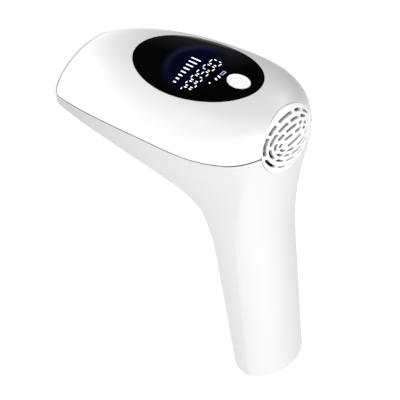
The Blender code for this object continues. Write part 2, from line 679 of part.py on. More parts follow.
# ================================================================ lamp end
def lamp_end():
    half_across, half_up = WINDOW[0] / 2, WINDOW[1] / 2
    frame = block("window_frame", (WINDOW_FRAME_FRONT, -40, 120), (WINDOW_FRAME_BACK, 40, 170))
    keep(frame, fit_form)
    cut(frame, block("window_opening", (-115, -half_across, LAMP_Z - half_up),
                     (-100, half_across, LAMP_Z + half_up)))
    for sign, name in ((-1, "left"), (1, "right")):
        low = (WINDOW_FRAME_FRONT - 0.5, sign * SENSOR_Y - 1.6, LAMP_Z - 4)
        high = (WINDOW_FRAME_BACK - 0.4, sign * SENSOR_Y + 1.6, LAMP_Z + 4)
        grow = Vector((3, GAP, GAP))
        cut(frame, block(f"sensor_slot_{name}", Vector(low) - grow, Vector(high) + grow))
        finish(block(f"skin_sensor_{name}", low, high), "gold")
        y = sign * WINDOW_SCREW_Y
        cut(frame, rod(f"window_hole_{name}", (-112, y, WINDOW_SCREW_Z), X, 12, 1.2, steps=8))
        cut(frame, rod(f"window_sink_{name}", (-112, y, WINDOW_SCREW_Z), X,
                       112 + WINDOW_FRAME_BACK - 2.0, 1.9, steps=16))
        screw(f"window_screw_{name}", (WINDOW_FRAME_BACK - 2.0 - GAP, y, WINDOW_SCREW_Z), -X, 7.0, 1.6)
    finish(frame, "white_satin")

    across, up, thick = GLASS
    glass_front = WINDOW_FRAME_BACK + GAP
    glass = block("filter_glass", (glass_front, -across / 2, LAMP_Z - up / 2),
                  (glass_front + thick, across / 2, LAMP_Z + up / 2))
    finish(glass, "glass")

    mouth = glass_front + thick + GAP - LAMP_X
    inner = [(mouth, -REFLECTOR_RADIUS)] + oval_arc(REFLECTOR_RADIUS, REFLECTOR_RADIUS, -90, 90, 9)
    inner += [(mouth, REFLECTOR_RADIUS)]
    back = REFLECTOR_RADIUS + 0.8
    outer = [(mouth, back)] + oval_arc(back, back, 90, -90, 9)
    outer += [(mouth, -REFLECTOR_RADIUS - 0.8)]
    outline = [(-u, v) for u, v in inner + outer]
    reflector = slab("reflector", outline, -REFLECTOR_LENGTH / 2, REFLECTOR_LENGTH,
                     (LAMP_X, 0, LAMP_Z))
    finish(reflector, "mirror")

    half = LAMP_LENGTH / 2
    profile = ((0, half), (0.6, half), (0.6, half - 3), (LAMP_RADIUS - 0.8, half - 3.6),
               (LAMP_RADIUS, half - 5), (LAMP_RADIUS, 5 - half), (LAMP_RADIUS - 0.8, 3.6 - half),
               (0.6, 3 - half), (0.6, -half), (0, -half))
    finish(turned("flash_lamp", (LAMP_X, 0, LAMP_Z), Y, profile, 16), "quartz")

    for sign, name in ((-1, "left"), (1, "right")):
        ends = sorted((sign * (REFLECTOR_LENGTH / 2 + GAP), sign * (REFLECTOR_LENGTH / 2 + 3.3)))
        holder = block(f"lamp_holder_{name}", (LAMP_X - 5.5, ends[0], LAMP_Z - 7.2),
                       (LAMP_X + 5.5, ends[1], LAMP_Z + 7.2))
        cut(holder, rod(f"lamp_hole_{name}", (LAMP_X, sign * 15, LAMP_Z), sign * Y, 14,
                        LAMP_RADIUS + GAP, steps=16))
        finish(holder, "ceramic")

    start, end, width, height = HEATSINK
    base = 3.0
    pitch = (width - 1.2) / (FIN_COUNT - 1)
    comb = [(-width / 2, start), (width / 2, start)]
    for number in range(FIN_COUNT):
        right = width / 2 - number * pitch
        comb += [(right, end), (right - 1.2, end)]
        if number < FIN_COUNT - 1:
            comb += [(right - 1.2, start + base), (right - pitch, start + base)]
    heatsink = slab("lamp_heatsink", comb, LAMP_Z - height / 2, height, (0, 0, 0), Z, X)
    finish(heatsink, "aluminium")


# ================================================================ boards and power parts
def main_board():
    start, end, half = MAIN_BOARD
    top = MAIN_BOARD_TOP
    board = block("main_board", (start, -half, top - BOARD_THICK), (end, half, top))
    for number, (x, y) in enumerate(MAIN_SCREWS):
        cut(board, rod(f"main_hole_{number}", (x, y, top - 5), Z, 10, 1.3, steps=8))
        screw(f"main_board_screw_{number + 1}", (x, y, top + GAP), Z, 6.5)
    finish(board, "board")

    on = top + GAP
    transformer = block("trigger_transformer", (-62, -9, on), (-46, 8, on + 15))
    edge = transformer.modifiers.new("edge", "BEVEL")
    edge.width = 1.2 * MM
    edge.segments = 2
    finish(transformer, "resin")
    finish(block("film_capacitor", (-62, 11, on), (-46, 17, on + 11)), "resin")
    finish(block("power_transistor", (-34.5, -6, on + 2), (-30, 4.5, on + 17)), "black_plastic")
    comb = [(-8.0, -29.7), (11.6, -29.7)]
    for number in range(5):
        side = 11.6 - number * 4.6
        comb += [(side, -27.5), (side, -20), (side - 1.2, -20), (side - 1.2, -27.5)]
    finish(slab("transistor_heatsink", comb, on, 19, (0, 0, 0), Z, X), "aluminium")
    choke = turned("choke", (-54, -17.3, on + 2), Z,
                   [(4.8 + 2.0 * math.cos(a), 2.0 * math.sin(a))
                    for a in np.linspace(math.pi / 2, -1.5 * math.pi, 9)], 16)
    finish(choke, "copper")


def handle_parts():
    profile = ((0, 40), (10.4, 40), (11.4, 39), (11.4, 1), (10.4, 0), (0, 0))
    for name, place in (("upper", (4.0, 0, 62)), ("lower", (2.9, 0, 20.5))):
        scale = 1.0 if name == "upper" else 0.94
        shape = [(r * scale, h * scale) for r, h in profile]
        finish(turned(f"flash_capacitor_{name}", place, Z, shape, 24), "capacitor")
    board = block("power_board", (-11.8, -7.5, 18), (-10.2, 7.5, 62))
    finish(board, "board")
    finish(block("boost_transformer", (-14.6, -4.5, 40), (-12.1, 4.5, 52)), "copper")


def leads():
    lamp_y = LAMP_LENGTH / 2 + 0.4
    for sign, name, colour in ((-1, "left", "wire_black"), (1, "right", "wire_red")):
        lead(f"lamp_lead_{name}", colour, 0.7,
             [(LAMP_X, sign * lamp_y, LAMP_Z), (LAMP_X + 3, sign * (lamp_y + 1.0), LAMP_Z - 1),
              (-84, sign * 25.0, 141), (-77, sign * 22.0, 135.8), (-72.5, sign * 14, 134.6),
              (-68, sign * 11, 134.2), (-65, sign * 10.6, 133.1)])
    lead("fan_lead", "wire_black", 0.7,
         [(9.2, -6, 146.3), (4, -11, 143), (-5, -15, 138.5), (-15, -16.5, 135), (-23, -17, 133.5),
          (-27, -17, 133.1)])
    lead("display_lead", "wire_black", 0.8,
         [(-46, 16, 167.5), (-46, 18, 162), (-44, 21, 150), (-38, 22, 140), (-31, 18, 134.5),
          (-30, 14, 133.2)])
    lead("supply_lead", "wire_red", 0.8,
         [(7.0, 0, 17.2), (2, 4, 18.2), (-4, 5, 18.2), (-8.6, 4, 18.6), (-9.1, 3, 21.5)])


vent_bore = rod("vent_bore", (VENT_X - GRILLE_SKIRT - GAP, 0, VENT_Z), X, 20,
                VENT_RADIUS + GAP, steps=40)
top_cover()
display_panel()
display_gasket()
display_boards()
power_button()
lower_body()
handle_end()
flash_trigger()
vent_grille()
fan()
lamp_end()
main_board()
handle_parts()
leads()
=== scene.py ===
"""Looks of a handheld IPL hair remover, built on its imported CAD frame.

The frame is the CAD's: +Z up along the handle, the lamp faces -X, the air vent faces
+X, and -Y is the near side. Lengths here are millimetres until a mesh is made.
"""

import math
from collections import namedtuple

import bmesh
import bpy
import numpy as np
from mathutils import Matrix, Vector


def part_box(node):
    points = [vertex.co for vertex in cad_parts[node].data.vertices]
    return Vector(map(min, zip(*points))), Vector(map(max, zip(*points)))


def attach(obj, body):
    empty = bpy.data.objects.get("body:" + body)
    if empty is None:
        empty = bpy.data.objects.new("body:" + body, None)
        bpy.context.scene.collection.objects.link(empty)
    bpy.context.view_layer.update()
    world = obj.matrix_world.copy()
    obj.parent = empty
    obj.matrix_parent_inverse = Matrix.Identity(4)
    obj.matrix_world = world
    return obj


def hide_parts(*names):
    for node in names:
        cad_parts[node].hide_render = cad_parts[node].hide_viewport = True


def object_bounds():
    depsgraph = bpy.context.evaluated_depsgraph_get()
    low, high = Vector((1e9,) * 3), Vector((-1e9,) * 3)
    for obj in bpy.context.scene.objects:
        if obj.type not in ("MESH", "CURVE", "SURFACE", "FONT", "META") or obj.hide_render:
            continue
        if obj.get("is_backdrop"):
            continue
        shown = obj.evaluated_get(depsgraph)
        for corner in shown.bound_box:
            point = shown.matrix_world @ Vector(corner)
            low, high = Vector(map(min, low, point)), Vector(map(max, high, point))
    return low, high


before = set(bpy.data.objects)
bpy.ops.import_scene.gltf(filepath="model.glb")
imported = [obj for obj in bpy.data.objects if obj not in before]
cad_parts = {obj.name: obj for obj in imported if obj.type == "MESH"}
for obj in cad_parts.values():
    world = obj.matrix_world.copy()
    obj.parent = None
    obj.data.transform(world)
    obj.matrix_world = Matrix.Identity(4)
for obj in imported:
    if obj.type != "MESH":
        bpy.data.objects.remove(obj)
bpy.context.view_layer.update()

MM = 0.001
GAP = 0.3                    # clearance round a let-in or moving piece
WALL = 2.3                   # thickness of the casing
OUTSIDE = -99.0              # stands for far outside a limit

# ---------------------------------------------------------------- casing, as in the CAD
# outer and inner are (x, z) points, belt is the place of the widest line between them as a
# fraction, and crown and keel are the superellipse powers on the outer and inner side.
Section = namedtuple("Section", "outer inner belt half_width crown keel")
SECTIONS = (
    Section((-110.0, 160.5), (-110.0, 131.0), 0.49, 28.0, 1.95, 2.70),
    Section((-91.0, 170.5), (-94.5, 126.0), 0.48, 32.0, 2.00, 2.40),
    Section((-62.0, 179.5), (-73.5, 120.0), 0.54, 35.2, 2.10, 2.35),
    Section((-28.0, 183.5), (-55.0, 113.0), 0.63, 37.2, 2.15, 2.25),
    Section((7.0, 183.0), (-42.0, 106.0), 0.71, 36.8, 2.10, 2.20),
    Section((31.0, 176.5), (-32.5, 95.5), 0.72, 31.5, 1.80, 2.10),
    Section((32.0, 152.5), (-27.0, 82.0), 0.74, 26.7, 1.70, 2.05),
    Section((22.0, 113.0), (-22.5, 63.0), 0.66, 23.0, 1.75, 2.05),
    Section((19.5, 64.0), (-20.3, 36.3), 0.60, 21.0, 1.80, 2.00),
    Section((16.0, 0.0), (-16.0, 0.0), 0.60, 20.0, 1.90, 2.00),
)
LAST = len(SECTIONS) - 1
COVER_LAST = 6.2             # the top cover ends before this section
# (x, z) points of the seam between body and cover
SEAM = ((-112.0, 144.8), (-83.0, 147.6), (-48.0, 150.6), (-24.0, 151.4), (-6.0, 151.3),
        (10.0, 153.2), (28.0, 157.6))
COVER_FRONT = -107.0
NOSE_X = -110.0
VENT_X, VENT_Z, VENT_RADIUS, VENT_CROWN = 28.5, 159.6, 19.4, 6.6
GRILLE_SKIRT, GRILLE_LAND, GRILLE_STEP = 3.2, 1.6, 1.0     # depth, width and top of its wall
VENT_GAP, SEAM_GAP, PANEL_GAP = 0.04, 0.8, 0.12
DISPLAY_X, DISPLAY_LONG, DISPLAY_WIDE = -29.2, 40.6, 24.3
ROOF_Z = 150.0               # the display's oval is cut only above this height
BUTTON_X, BUTTON_LONG, BUTTON_WIDE, BUTTON_PROUD = -1.1, 6.95, 4.9, 0.5
TRIGGER_Z, TRIGGER_LONG, TRIGGER_WIDE, TRIGGER_PROUD = 79.0, 12.0, 6.8, 1.0
TRIGGER_AXIS = np.array((0.956, 0.0, 0.294))
LAMP_Z = 146.0
WINDOW_FRAME_FRONT, WINDOW_FRAME_BACK = -108.6, -104.4
WINDOW_HALF, WINDOW_CORNER = (16.5, 6.0), 1.6
SENSOR_Y, SENSOR_HALF, SENSOR_CORNER = 20.5, (1.6, 4.0), 1.2
WINDOW_SCREW_Y, WINDOW_SCREW_Z, WINDOW_SCREW_HOLE = 9.0, 136.4, 1.75
JACK_X, JACK_HOLE = 6.6, 3.4
END_SCREW_X, END_SCREW_Y, END_SCREW_HOLE = -2.0, 14.4, 1.84

# ---------------------------------------------------------------- figures on the display
# The pitch of the bars and figures grows a little from one to the next.
FIGURE_TOP, FIGURE_THICK = -0.05, 0.05       # height over the casing, and thickness
BARS = 8
BAR_TOP, BAR_STEP, BAR_BOW, BAR_FOOT, BAR_RISE = -31.3, 0.20, 0.04, -28.2, 0.2
BAR_FIRST_Y, BAR_PITCH, BAR_SPREAD, BAR_WIDTH = -17.1, 2.28, 0.05, 0.65
DIGITS = "700500"
DIGIT_X, DIGIT_FIRST_Y, DIGIT_PITCH, DIGIT_SPREAD = -21.1, -19.0, 4.1, 0.128
DIGIT_TALL, DIGIT_BROAD, DIGIT_GROWTH, SEGMENT_WIDTH = 6.5, 2.9, 0.2, 0.5
SEGMENT_END = 0.78           # how far a segment stops short of its corners
LEAN = 0.03
DOT_X, DOT_Y, DOT_RADIUS = -12.9, -9.4, 0.45
DASHES = ((-11.9, -5.7, 1.7), (-11.8, -3.5, 2.0))            # middle x and y, and length
DASH_WIDTH, DASH_LEAN = 0.75, 0.3
ICON = (-12.0, 0.3, 0.95, 1.55, 0.35)          # middle x and y, half sides, line width
LIT = {"0": "abcdef", "5": "acdfg", "7": "abc"}              # lit segments of each figure

# ---------------------------------------------------------------- slots of the vent grille
# Every ring is an oval round the level slot in the middle: half length, half height, lift
# of its middle, and where each slot starts and ends, in degrees from +Y towards +Z.
SLOT_HALF = 0.76             # half the width of a slot
SLOT_RINGS = (
    (17.9, 15.0, -0.85, ((19, 45), (51, 70), (76, 110), (117, 139), (144, 184), (193, 227),
                         (233, 253), (257, 290), (296, 326), (333, 372))),
    (15.3, 10.9, -0.2, ((31, 55), (62, 88), (94, 123), (129, 162), (172, 208), (216, 239),
                        (245, 270), (277, 303), (310, 335), (343, 380))),
    (12.7, 7.5, 0.05, ((18, 36), (46, 64), (72, 110), (118, 141), (153, 182), (201, 224),
                       (231, 250), (256, 290), (299, 326), (336, 365))),
    (10.0, 4.2, 0.1, ((10, 39), (54, 84), (95, 130), (147, 176), (190, 223), (234, 264),
                      (276, 316), (328, 357))),
)
SLOT_LIFT = 1.7              # the slots' middle over the vent's
CENTRE_SLOT = (5.5, 0.82, 7.0)               # half length, half height, tilt in degrees


# ================================================================ curves and surfaces
def spline_bend(values):
    """Second differences of a natural cubic through rows at whole-numbered knots."""
    count = len(values)
    system = np.eye(count)
    right = np.zeros_like(values)
    for i in range(1, count - 1):
        system[i, i - 1:i + 2] = (1, 4, 1)
        right[i] = 6 * (values[i - 1] - 2 * values[i] + values[i + 1])
    return np.linalg.solve(system, right)


def spline(values, bend, where):
    """Rows of the spline at each place, where a whole number is a knot."""
    index = np.clip(where.astype(int), 0, len(values) - 2)
    b = (where - index)[:, None]
    a = 1 - b
    return (a * values[index] + b * values[index + 1]
            + ((a ** 3 - a) * bend[index] + (b ** 3 - b) * bend[index + 1]) / 6)


TABLE = np.array([(*s.outer, *s.inner, s.belt, s.half_width, s.crown, s.keel) for s in SECTIONS])
TABLE_BEND = spline_bend(TABLE)
SEAM_TABLE = np.array(SEAM)
SEAM_RUN = spline(SEAM_TABLE, spline_bend(SEAM_TABLE), np.linspace(0, len(SEAM) - 1, 400))


def casing_point(t, angle):
    """Points of the casing at section t, turned by angle from its outer side."""
    row = spline(TABLE, TABLE_BEND, t)
    c, s = np.cos(angle), np.sin(angle)
    upper = c >= 0
    power = 2 / np.where(upper, row[:, 6], row[:, 7])
    outer, inner = row[:, 0:2], row[:, 2:4]
    middle = inner + row[:, 4:5] * (outer - inner)
    edge = np.where(upper[:, None], outer, inner)
    spot = middle + (np.abs(c) ** power)[:, None] * (edge - middle)
    y = np.sign(s) * np.abs(s) ** power * row[:, 5]
    return np.stack([spot[:, 0], y, spot[:, 1]], axis=1)


def unit(rows):
    return rows / np.maximum(np.linalg.norm(rows, axis=1, keepdims=True), 1e-12)


def casing(t, angle):
    """Points of the casing's outer surface and their normals."""
    step = 0.002
    low, high = np.clip(t - step, 0, LAST), np.clip(t + step, 0, LAST)
    along = casing_point(high, angle) - casing_point(low, angle)
    around = casing_point(t, angle + step) - casing_point(t, angle - step)
    return casing_point(t, angle), unit(np.cross(along, around))


def dome(radius, angle):
    """Points and normals of the vent's domed face."""
    ball = (VENT_RADIUS ** 2 + VENT_CROWN ** 2) / (2 * VENT_CROWN)
    rise = np.sqrt(ball ** 2 - radius ** 2) - ball + VENT_CROWN
    y, z = radius * np.cos(angle), radius * np.sin(angle)
    points = np.stack([VENT_X + rise, y, VENT_Z + z], axis=1)
    return points, unit(points - (VENT_X + VENT_CROWN - ball, 0, VENT_Z))


def nose_plane(radius, angle):
    y, z = radius * np.cos(angle), radius * np.sin(angle)
    points = np.stack([np.full_like(y, WINDOW_FRAME_FRONT), -y, LAMP_Z + z], axis=1)
    return points, np.tile((-1.0, 0.0, 0.0), (len(y), 1))


def base_plane(radius, angle):
    x, y = radius * np.cos(angle), radius * np.sin(angle)
    points = np.stack([x, -y, np.zeros_like(x)], axis=1)
    return points, np.tile((0.0, 0.0, -1.0), (len(x), 1))


# ================================================================ limits, in mm, + inside
def soft_min(a, b, blend=2.4):
    near = np.clip(blend - np.abs(a - b), 0, None) / blend
    return np.minimum(a, b) - near ** 2 * blend / 4


def over_seam(points):
    height = points[:, 2] - np.interp(points[:, 0], SEAM_RUN[:, 0], SEAM_RUN[:, 1])
    return soft_min(height, points[:, 0] - COVER_FRONT)


def in_cover(points):
    return over_seam(points) - SEAM_GAP


def in_body(points):
    return -over_seam(points)


def oval(across, up, half_across, half_up, power=2.0):
    """Distance inside a (super)ellipse, close to true near its edge."""
    a, b = np.abs(across / half_across), np.abs(up / half_up)
    reach = (a ** power + b ** power) ** (1 / power) + 1e-9
    slope = np.hypot(a ** (power - 1) / half_across, b ** (power - 1) / half_up)
    return (1 - reach) * reach ** (power - 1) / np.maximum(slope, 1e-6)


def end_outline(section, across, up, centre, halves):
    """Distance inside an end section of the casing."""
    power = np.where(up > centre, section.crown, section.keel)
    half = np.where(up > centre, halves[0], halves[1])
    return oval(across, up - centre, section.half_width, half, power)


def off_vent(points):
    ring = np.hypot(points[:, 1], points[:, 2] - VENT_Z) - VENT_RADIUS - VENT_GAP
    return np.maximum(ring, VENT_X - GRILLE_SKIRT - GAP - points[:, 0])


def display_edge(points, grow):
    inside = oval(points[:, 0] - DISPLAY_X, points[:, 1], DISPLAY_LONG + grow, DISPLAY_WIDE + grow)
    return np.where(points[:, 2] > ROOF_Z, inside, OUTSIDE)


def off_display(points):
    return -display_edge(points, 0.0)


def in_panel(points):
    return display_edge(points, -PANEL_GAP)


def off_button(points):
    return -oval(points[:, 0] - BUTTON_X, points[:, 1], BUTTON_LONG + GAP, BUTTON_WIDE + GAP)


def trigger_edge(points, grow):
    axis = TRIGGER_AXIS / np.linalg.norm(TRIGGER_AXIS)
    away = points - TRIGGER_SPOT
    up = away @ np.array((axis[2], 0, -axis[0]))
    inside = oval(up, points[:, 1], TRIGGER_LONG + grow, TRIGGER_WIDE + grow)
    return np.where(points[:, 0] < 0, inside, OUTSIDE)


def off_trigger(points):
    return -trigger_edge(points, GAP)


def in_trigger(points):
    return trigger_edge(points, 0.0)


def in_nose(points):
    section = SECTIONS[0]
    bottom, top = section.inner[1], section.outer[1]
    centre = bottom + section.belt * (top - bottom)
    return end_outline(section, points[:, 1], points[:, 2], centre,
                       (top - centre, centre - bottom)) - WALL - GAP


def in_base(points):
    section = SECTIONS[-1]
    front, back = section.inner[0], section.outer[0]
    centre = front + section.belt * (back - front)
    return end_outline(section, points[:, 1], points[:, 0], centre,
                       (back - centre, centre - front)) - WALL - GAP


def off_window(points):
    return capsule(np.abs(points[:, 1]) - WINDOW_HALF[0],
                   np.abs(points[:, 2] - LAMP_Z) - WINDOW_HALF[1], WINDOW_CORNER)


def off_sensors(points):
    return capsule(np.abs(np.abs(points[:, 1]) - SENSOR_Y) - SENSOR_HALF[0] - GAP,
                   np.abs(points[:, 2] - LAMP_Z) - SENSOR_HALF[1] - GAP, SENSOR_CORNER)


def off_window_screws(points):
    away = np.hypot(np.abs(points[:, 1]) - WINDOW_SCREW_Y, points[:, 2] - WINDOW_SCREW_Z)
    return away - WINDOW_SCREW_HOLE


def off_jack(points):
    return np.hypot(points[:, 0] - JACK_X, points[:, 1]) - JACK_HOLE


def off_end_screws(points):
    away = np.hypot(points[:, 0] - END_SCREW_X, np.abs(points[:, 1]) - END_SCREW_Y)
    return away - END_SCREW_HOLE


def behind_nose(points):
    return points[:, 0] - NOSE_X


def above_base(points):
    return points[:, 2]


def slots(points):
    """Distance outside the vent's slots."""
    y, z = points[:, 1], points[:, 2] - VENT_Z - SLOT_LIFT
    tilt = math.radians(CENTRE_SLOT[2])
    along = y * math.cos(tilt) + z * math.sin(tilt)
    up = z * math.cos(tilt) - y * math.sin(tilt)
    best = capsule(np.abs(along) - CENTRE_SLOT[0], np.abs(up) - CENTRE_SLOT[1])
    for half_long, half_high, lift, runs in SLOT_RINGS:
        turn = np.degrees(np.arctan2((z - lift) / half_high, y / half_long))
        across = np.abs(oval(y, z - lift, half_long, half_high)) - SLOT_HALF
        pace = np.radians(np.hypot(half_long * np.sin(np.radians(turn)),
                                   half_high * np.cos(np.radians(turn))))
        for start, end in runs:
            middle, half = (start + end) / 2, (end - start) / 2
            away = np.abs((turn - middle + 180) % 360 - 180)
            best = np.minimum(best, capsule((away - half) * pace, across))
    return best


def capsule(along, across, corner=0.55):
    """Distance to a box with rounded corners, from the distances past its sides."""
    a, b = along + corner, across + corner
    outside = np.hypot(np.maximum(a, 0), np.maximum(b, 0))
    return outside + np.minimum(np.maximum(a, b), 0) - corner


def in_rim(points):
    return VENT_RADIUS - np.hypot(points[:, 1], points[:, 2] - VENT_Z)


# ================================================================ meshes
LIP = 1.2                    # width of the inner side of a patch's edge
HALVINGS = 18                # steps that find where a patch's edge crosses the grid
NUDGE = 0.01                 # step that measures the slope of a limit


def make(name, points, faces, normals=None, sharp=None):
    """Mesh from points in mm, smooth but for edges past the sharp angle in degrees."""
    mesh = bpy.data.meshes.new(name)
    mesh.from_pydata((np.asarray(points) * MM).tolist(), [], faces)
    mesh.shade_smooth()
    if sharp is not None:
        mesh.set_sharp_from_angle(angle=math.radians(sharp))
    if normals is not None:
        mesh.normals_split_custom_set_from_vertices(np.asarray(normals).tolist())
    thing = bpy.data.objects.new(name, mesh)
    bpy.context.scene.collection.objects.link(thing)
    return thing


def patch(name, surface, us, vs, limits, depth, lift=0.0, sink=None, turns=4):
    """The part of a surface inside its limits, with rounded edges that turn inward.

    us runs along the surface and vs right round it. Each limit is a distance in mm,
    positive inside, with the radius of the edge that it leaves. The edge goes down by
    depth, against the normal or along sink, and then in by LIP.
    """
    def at(u, v):
        points, normals = surface(u, v)
        return points + lift * normals, normals

    def field(points):
        return np.min([distance(points) - radius for distance, radius in limits], axis=0)

    def cross_over(u_in, v_in, u_out, v_out):
        low, high = np.zeros(len(u_in)), np.ones(len(u_in))
        for _ in range(HALVINGS):
            middle = (low + high) / 2
            points, _ = at(u_in + middle * (u_out - u_in), v_in + middle * (v_out - v_in))
            inside = field(points) > 0
            low, high = np.where(inside, middle, low), np.where(inside, high, middle)
        return at(u_in + low * (u_out - u_in), v_in + low * (v_out - v_in))

    rows, columns = len(us), len(vs)
    u, v = np.meshgrid(us, vs, indexing="ij")
    points, normals = at(u.ravel(), v.ravel())
    inside = (field(points) > 0).reshape(rows, columns)
    number = np.full((rows, columns), -1)
    number[inside] = np.arange(inside.sum())
    all_points = [points[inside.ravel()]]
    all_normals = [normals[inside.ravel()]]
    total = int(inside.sum())

    cuts = {}
    for di, dj in ((1, 0), (0, 1)):
        i, j = np.meshgrid(np.arange(rows - di), np.arange(columns), indexing="ij")
        i, j = i.ravel(), j.ravel()
        other_i, other_j = i + di, (j + dj) % columns
        differs = inside[i, j] != inside[other_i, other_j]
        i, j, other_i, other_j = i[differs], j[differs], other_i[differs], other_j[differs]
        first_in = inside[i, j]
        v_next = vs[j] + dj * (vs[1] - vs[0])
        u_in = np.where(first_in, us[i], us[other_i])
        u_out = np.where(first_in, us[other_i], us[i])
        v_in = np.where(first_in, vs[j], v_next)
        v_out = np.where(first_in, v_next, vs[j])
        new_points, new_normals = cross_over(u_in, v_in, u_out, v_out)
        all_points.append(new_points)
        all_normals.append(new_normals)
        for k in range(len(i)):
            pair = ((i[k], j[k]), (other_i[k], other_j[k]))
            cuts[pair] = cuts[pair[::-1]] = total + k
        total += len(i)

    faces = []
    for i in range(rows - 1):
        for j in range(columns):
            near = (j + 1) % columns
            corners = ((i, j), (i + 1, j), (i + 1, near), (i, near))
            loop = []
            for here, ahead in zip(corners, corners[1:] + corners[:1]):
                if inside[here]:
                    loop.append(int(number[here]))
                if inside[here] != inside[ahead]:
                    loop.append(cuts[(here, ahead)])
            if loop:
                faces.append(tuple(loop))
    points = np.concatenate(all_points)
    normals = np.concatenate(all_normals)

    used = {pair for face in faces for pair in zip(face, face[1:] + face[:1])}
    edges = [(a, b) for a, b in sorted(used) if (b, a) not in used]
    ring = sorted({a for edge in edges for a in edge})
    place = {a: k for k, a in enumerate(ring)}
    spots, facing = points[ring], normals[ring]
    reach = np.array([distance(spots) - radius for distance, radius in limits])
    radius = np.array([r for _, r in limits])[np.argmin(reach, axis=0)]
    slope = np.stack([field(spots + NUDGE * e) - field(spots - NUDGE * e) for e in np.eye(3)],
                     axis=1)
    away = unit(-(slope - np.sum(slope * facing, axis=1, keepdims=True) * facing))
    down = facing if sink is None else np.tile(-np.array(sink, float), (len(ring), 1))
    layers = []
    for k in range(1, turns + 1):
        a = math.pi / 2 * k / turns
        layers.append((spots + radius[:, None] * (math.sin(a) * away - (1 - math.cos(a)) * facing),
                       math.sin(a) * away + math.cos(a) * facing))
    edge = spots + radius[:, None] * away
    layers.append((edge - depth * down, away))
    layers.append((edge - LIP * away - depth * down, -down))
    before = [int(a) for a in ring]
    for layer_points, layer_normals in layers:
        start = len(points)
        points = np.concatenate([points, layer_points])
        normals = np.concatenate([normals, layer_normals])
        for a, b in edges:
            faces.append((before[place[b]], before[place[a]], start + place[a], start + place[b]))
        before = [start + k for k in range(len(ring))]
    return make(name, points, faces, normals)


def around(count):
    return np.linspace(0, 2 * math.pi, count, endpoint=False)


def turned(name, centre, profile, steps):
    """Ring turned round +X from a closed profile of (height, radius) points."""
    angles = around(steps)
    rings = []
    for height, radius in profile:
        rings.append(np.stack([np.full(steps, height), radius * np.cos(angles),
                               radius * np.sin(angles)], axis=1) + np.array(centre))
    count = len(profile)
    faces = []
    for low in range(count):
        high = (low + 1) % count
        for i in range(steps):
            j = (i + 1) % steps
            faces.append((low * steps + i, high * steps + i, high * steps + j, low * steps + j))
    return make(name, np.concatenate(rings), faces, sharp=40)


def roof(x, y, lift):
    """Points of the casing's top at (x, y), raised along the normal."""
    t, angle, step = np.full(len(x), 3.0), np.zeros(len(x)), 0.001
    # Steps towards (x, y), kept between sections 0.5 and 5.5 and within 1.4 radians of the top.
    for _ in range(30):
        here = casing_point(t, angle)
        pace_t = (casing_point(t + step, angle) - here)[:, 0] / step
        pace_a = (casing_point(t, angle + step) - casing_point(t, angle - step))[:, 1] / (2 * step)
        t = np.clip(t + (x - here[:, 0]) / pace_t, 0.5, 5.5)
        angle = np.clip(angle + 0.7 * (y - here[:, 1]) / np.maximum(pace_a, 5.0), -1.4, 1.4)
    points, normals = casing(t, angle)
    return points + lift * normals


def plate(name, outlines):
    """Thin plates along the casing's top, each from an outline of (x, y) points."""
    points, faces = [], []
    for outline in outlines:
        x, y = np.array(outline, float).T
        count, start = len(x), sum(len(rows) for rows in points)
        points += [roof(x, y, FIGURE_TOP), roof(x, y, FIGURE_TOP - FIGURE_THICK)]
        area = np.sum(x * np.roll(y, -1) - y * np.roll(x, -1))
        loop = list(range(count)) if area > 0 else list(range(count))[::-1]
        faces.append([start + k for k in loop])
        faces.append([start + count + k for k in loop[::-1]])
        for a, b in zip(loop, loop[1:] + loop[:1]):
            faces.append((start + b, start + a, start + count + a, start + count + b))
    return make(name, np.concatenate(points), faces, sharp=30)


def button_cap():
    """Oval cap: a rounded rim round a shallow dish, on the casing's own curve."""
    top = BUTTON_PROUD
    # Each row is a ring's inset from the edge and its height over the casing.
    profile = ((0.0, -2.2), (0.0, top - 0.5), (0.04, top - 0.31), (0.15, top - 0.15),
               (0.31, top - 0.04), (0.5, top), (0.72, top - 0.02), (0.88, top - 0.1),
               (1.0, top - 0.2), (1.12, top - 0.27), (1.3, top - 0.3), (2.2, top - 0.29),
               (3.4, top - 0.27), (4.6, top - 0.26))
    rim_rings, steps = 8, 128
    angles = around(steps)
    rings = []
    for inset, height in profile:
        x = BUTTON_X + (BUTTON_LONG - inset) * np.cos(angles)
        y = (BUTTON_WIDE - inset) * np.sin(angles)
        rings.append(roof(x, y, height))
    faces = []
    last = (len(rings) - 1) * steps
    for low in range(0, last, steps):
        high = low + steps
        for i in range(steps):
            j = (i + 1) % steps
            faces.append((low + i, low + j, high + j, high + i))
    faces.append(tuple(range(last, last + steps)))
    cap = make("button_cap", np.concatenate(rings), faces)
    for face in cap.data.polygons:
        face.material_index = int(face.index >= rim_rings * steps)
    return cap


def segment_outlines(figure, x, y, broad):
    """Outlines of one figure's lit segments; figures read along +Y with their tops at -X."""
    tall, broad, half = DIGIT_TALL / 2, broad / 2, SEGMENT_WIDTH / 2
    ends = {
        "a": (-tall, -broad, -tall, broad), "d": (tall, -broad, tall, broad),
        "g": (0, -broad, 0, broad), "b": (-tall, broad, 0, broad), "c": (0, broad, tall, broad),
        "e": (0, -broad, tall, -broad), "f": (-tall, -broad, 0, -broad),
    }
    outlines = []
    for segment in LIT[figure]:
        x0, y0, x1, y1 = ends[segment]
        start, end = Vector((x0, y0)), Vector((x1, y1))
        along = (end - start).normalized()
        side = Vector((-along.y, along.x)) * half
        start, end = start + along * SEGMENT_END, end - along * SEGMENT_END
        middle = [start, start + along * half + side, end - along * half + side, end,
                  end - along * half - side, start + along * half - side]
        outlines.append([(x + p.x, y + p.y - LEAN * p.x) for p in middle])
    return outlines


